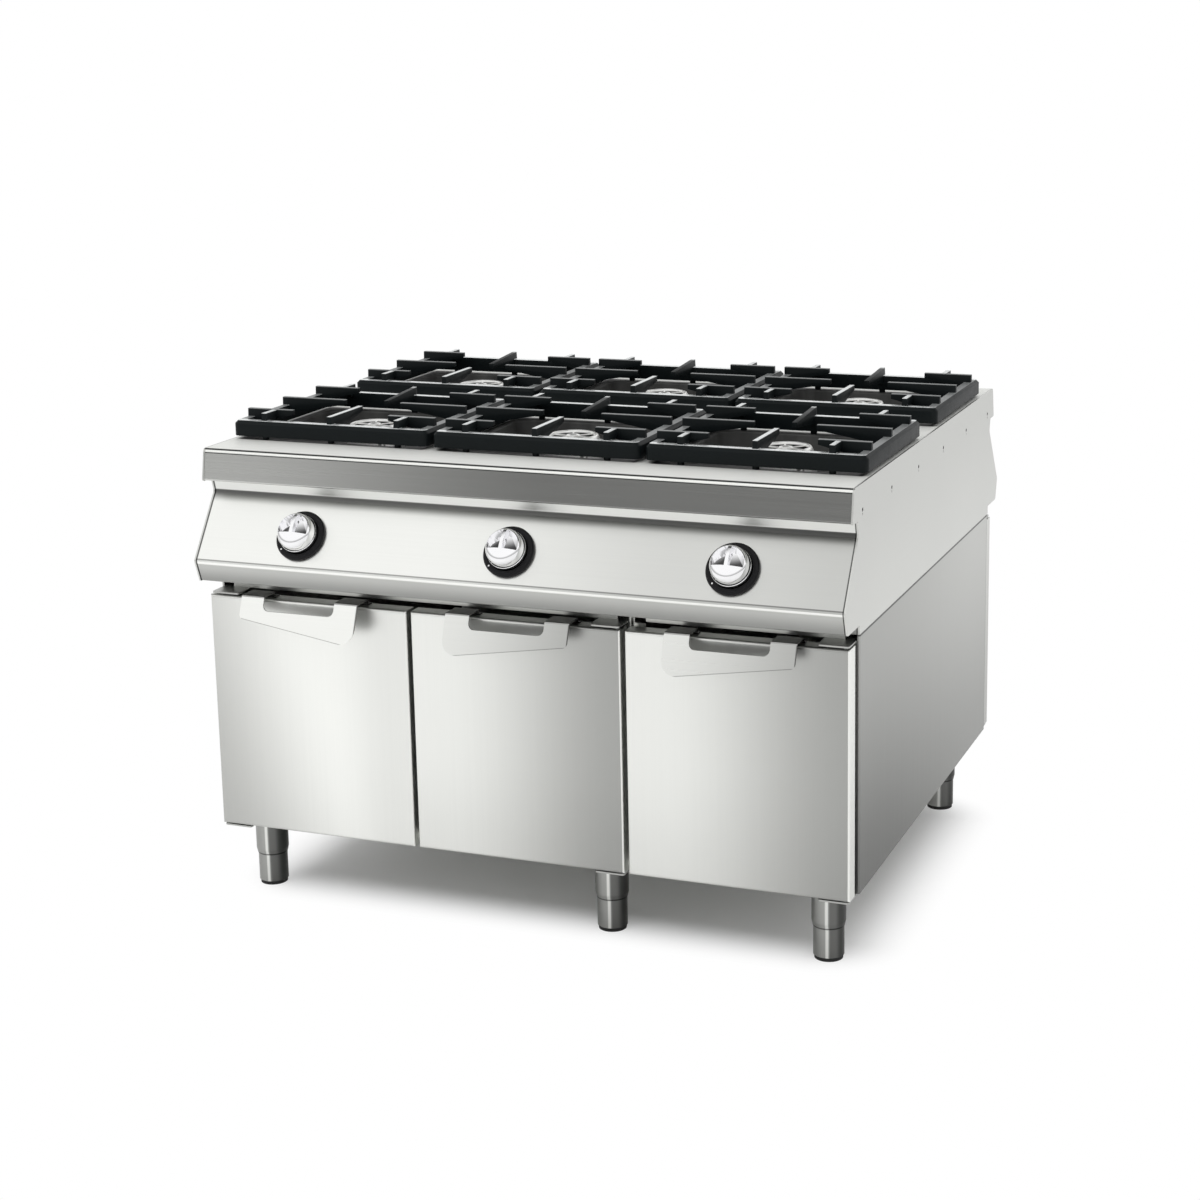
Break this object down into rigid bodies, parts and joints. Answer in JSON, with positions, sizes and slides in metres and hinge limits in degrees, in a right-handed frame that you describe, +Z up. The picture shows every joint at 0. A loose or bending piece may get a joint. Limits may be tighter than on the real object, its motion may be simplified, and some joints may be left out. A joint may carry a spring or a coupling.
{
  "type": "gas range",
  "caption": "Double-sided commercial gas range with open burners under cast-iron grates, slanted knob panels and pass-through cupboards on legs.",
  "frame": {"origin": "on the floor under the middle of the range", "axes": "+X to the right seen from the front, +Y from front to rear, +Z up"},
  "size_m": [1.2, 1.1316, 0.8992],
  "materials": {
    "stainless": "satin brushed stainless sheet",
    "cast_iron": "matt black enamelled casting",
    "burner_iron": "raw grey casting",
    "burner_alloy": "bright cast crown",
    "chrome": "polished chrome plate",
    "black_plastic": "satin black moulding",
    "spindle_steel": "plain turned steel",
    "brass": "machined brass",
    "pipe_steel": "zinc-plated pipe",
    "bracket_steel": "plain steel plate",
    "leg_steel": "brushed stainless tube"
  },
  "bodies": {
    "range_body": {"worktop": "stainless", "top_side_left": "stainless", "top_side_right": "stainless", "console_front": "stainless", "console_rear": "stainless", "burner_box_floor": "stainless", "cabinet_side_left": "stainless", "cabinet_side_right": "stainless", "cabinet_dividers": "stainless", "cabinet_floors": "stainless", "cabinet_top_rails": "stainless", "hinge_brackets": "bracket_steel", "leg_tubes": "leg_steel", "burner_bodies": "burner_iron", "burner_heads": "burner_alloy", "gas_valves": "brass", "gas_pipework": "pipe_steel", "knob_bezels": "black_plastic"},
    "grate_front_left": {"grate_front_left": "cast_iron"},
    "spindle_front_left": {"spindle_front_left": "spindle_steel"},
    "knob_front_left": {"knob_front_left": "chrome"},
    "door_front_left": {"door_shell_front_left": "stainless", "door_liner_front_left": "stainless", "door_handle_front_left": "stainless"},
    "foot_front_left": {"foot_front_left": "leg_steel"},
    "grate_front_middle": {"grate_front_middle": "cast_iron"},
    "spindle_front_middle": {"spindle_front_middle": "spindle_steel"},
    "knob_front_middle": {"knob_front_middle": "chrome"},
    "door_front_middle": {"door_shell_front_middle": "stainless", "door_liner_front_middle": "stainless", "door_handle_front_middle": "stainless"},
    "foot_front_middle": {"foot_front_middle": "leg_steel"},
    "grate_front_right": {"grate_front_right": "cast_iron"},
    "spindle_front_right": {"spindle_front_right": "spindle_steel"},
    "knob_front_right": {"knob_front_right": "chrome"},
    "door_front_right": {"door_shell_front_right": "stainless", "door_liner_front_right": "stainless", "door_handle_front_right": "stainless"},
    "foot_front_right": {"foot_front_right": "leg_steel"},
    "grate_rear_left": {"grate_rear_left": "cast_iron"},
    "spindle_rear_left": {"spindle_rear_left": "spindle_steel"},
    "knob_rear_left": {"knob_rear_left": "chrome"},
    "door_rear_left": {"door_shell_rear_left": "stainless", "door_liner_rear_left": "stainless", "door_handle_rear_left": "stainless"},
    "foot_rear_left": {"foot_rear_left": "leg_steel"},
    "grate_rear_middle": {"grate_rear_middle": "cast_iron"},
    "spindle_rear_middle": {"spindle_rear_middle": "spindle_steel"},
    "knob_rear_middle": {"knob_rear_middle": "chrome"},
    "door_rear_middle": {"door_shell_rear_middle": "stainless", "door_liner_rear_middle": "stainless", "door_handle_rear_middle": "stainless"},
    "foot_rear_middle": {"foot_rear_middle": "leg_steel"},
    "grate_rear_right": {"grate_rear_right": "cast_iron"},
    "spindle_rear_right": {"spindle_rear_right": "spindle_steel"},
    "knob_rear_right": {"knob_rear_right": "chrome"},
    "door_rear_right": {"door_shell_rear_right": "stainless", "door_liner_rear_right": "stainless", "door_handle_rear_right": "stainless"},
    "foot_rear_right": {"foot_rear_right": "leg_steel"}
  },
  "joints": [
    {"name": "lift_grate_front_left", "type": "slide", "parent": "range_body", "child": "grate_front_left", "axis": [0, 0, 1], "range_m": [0, 0.12]},
    {"name": "push_knob_front_left", "type": "slide", "parent": "range_body", "child": "spindle_front_left", "axis": [0, 0.824, -0.5665], "range_m": [0, 0.004], "stiffness_N_per_m": 2500, "springref_m": -0.004},
    {"name": "turn_knob_front_left", "type": "hinge", "parent": "spindle_front_left", "child": "knob_front_left", "pos_m": [-0.4, -0.51666, 0.70575], "axis": [0, -0.824, 0.5665], "range_deg": [0, 180]},
    {"name": "open_door_front_left", "type": "hinge", "parent": "range_body", "child": "door_front_left", "pos_m": [-0.586, -0.5, 0.3685], "axis": [0, 0, -1], "range_deg": [0, 110]},
    {"name": "adjust_foot_front_left", "type": "slide", "parent": "range_body", "child": "foot_front_left", "axis": [0, 0, -1], "range_m": [0, 0.05]},
    {"name": "lift_grate_front_middle", "type": "slide", "parent": "range_body", "child": "grate_front_middle", "axis": [0, 0, 1], "range_m": [0, 0.12]},
    {"name": "push_knob_front_middle", "type": "slide", "parent": "range_body", "child": "spindle_front_middle", "axis": [0, 0.824, -0.5665], "range_m": [0, 0.004], "stiffness_N_per_m": 2500, "springref_m": -0.004},
    {"name": "turn_knob_front_middle", "type": "hinge", "parent": "spindle_front_middle", "child": "knob_front_middle", "pos_m": [0, -0.51666, 0.70575], "axis": [0, -0.824, 0.5665], "range_deg": [0, 180]},
    {"name": "open_door_front_middle", "type": "hinge", "parent": "range_body", "child": "door_front_middle", "pos_m": [0.186, -0.5, 0.3685], "axis": [0, 0, 1], "range_deg": [0, 100]},
    {"name": "adjust_foot_front_middle", "type": "slide", "parent": "range_body", "child": "foot_front_middle", "axis": [0, 0, -1], "range_m": [0, 0.05]},
    {"name": "lift_grate_front_right", "type": "slide", "parent": "range_body", "child": "grate_front_right", "axis": [0, 0, 1], "range_m": [0, 0.12]},
    {"name": "push_knob_front_right", "type": "slide", "parent": "range_body", "child": "spindle_front_right", "axis": [0, 0.824, -0.5665], "range_m": [0, 0.004], "stiffness_N_per_m": 2500, "springref_m": -0.004},
    {"name": "turn_knob_front_right", "type": "hinge", "parent": "spindle_front_right", "child": "knob_front_right", "pos_m": [0.4, -0.51666, 0.70575], "axis": [0, -0.824, 0.5665], "range_deg": [0, 180]},
    {"name": "open_door_front_right", "type": "hinge", "parent": "range_body", "child": "door_front_right", "pos_m": [0.586, -0.5, 0.3685], "axis": [0, 0, 1], "range_deg": [0, 110]},
    {"name": "adjust_foot_front_right", "type": "slide", "parent": "range_body", "child": "foot_front_right", "axis": [0, 0, -1], "range_m": [0, 0.05]},
    {"name": "lift_grate_rear_left", "type": "slide", "parent": "range_body", "child": "grate_rear_left", "axis": [0, 0, 1], "range_m": [0, 0.12]},
    {"name": "push_knob_rear_left", "type": "slide", "parent": "range_body", "child": "spindle_rear_left", "axis": [0, -0.824, -0.5665], "range_m": [0, 0.004], "stiffness_N_per_m": 2500, "springref_m": -0.004},
    {"name": "turn_knob_rear_left", "type": "hinge", "parent": "spindle_rear_left", "child": "knob_rear_left", "pos_m": [-0.4, 0.51666, 0.70575], "axis": [0, 0.824, 0.5665], "range_deg": [0, 180]},
    {"name": "open_door_rear_left", "type": "hinge", "parent": "range_body", "child": "door_rear_left", "pos_m": [-0.586, 0.5, 0.3685], "axis": [0, 0, 1], "range_deg": [0, 110]},
    {"name": "adjust_foot_rear_left", "type": "slide", "parent": "range_body", "child": "foot_rear_left", "axis": [0, 0, -1], "range_m": [0, 0.05]},
    {"name": "lift_grate_rear_middle", "type": "slide", "parent": "range_body", "child": "grate_rear_middle", "axis": [0, 0, 1], "range_m": [0, 0.12]},
    {"name": "push_knob_rear_middle", "type": "slide", "parent": "range_body", "child": "spindle_rear_middle", "axis": [0, -0.824, -0.5665], "range_m": [0, 0.004], "stiffness_N_per_m": 2500, "springref_m": -0.004},
    {"name": "turn_knob_rear_middle", "type": "hinge", "parent": "spindle_rear_middle", "child": "knob_rear_middle", "pos_m": [0, 0.51666, 0.70575], "axis": [0, 0.824, 0.5665], "range_deg": [0, 180]},
    {"name": "open_door_rear_middle", "type": "hinge", "parent": "range_body", "child": "door_rear_middle", "pos_m": [0.186, 0.5, 0.3685], "axis": [0, 0, -1], "range_deg": [0, 100]},
    {"name": "adjust_foot_rear_middle", "type": "slide", "parent": "range_body", "child": "foot_rear_middle", "axis": [0, 0, -1], "range_m": [0, 0.05]},
    {"name": "lift_grate_rear_right", "type": "slide", "parent": "range_body", "child": "grate_rear_right", "axis": [0, 0, 1], "range_m": [0, 0.12]},
    {"name": "push_knob_rear_right", "type": "slide", "parent": "range_body", "child": "spindle_rear_right", "axis": [0, -0.824, -0.5665], "range_m": [0, 0.004], "stiffness_N_per_m": 2500, "springref_m": -0.004},
    {"name": "turn_knob_rear_right", "type": "hinge", "parent": "spindle_rear_right", "child": "knob_rear_right", "pos_m": [0.4, 0.51666, 0.70575], "axis": [0, 0.824, 0.5665], "range_deg": [0, 180]},
    {"name": "open_door_rear_right", "type": "hinge", "parent": "range_body", "child": "door_rear_right", "pos_m": [0.586, 0.5, 0.3685], "axis": [0, 0, -1], "range_deg": [0, 110]},
    {"name": "adjust_foot_rear_right", "type": "slide", "parent": "range_body", "child": "foot_rear_right", "axis": [0, 0, -1], "range_m": [0, 0.05]}
  ]
}
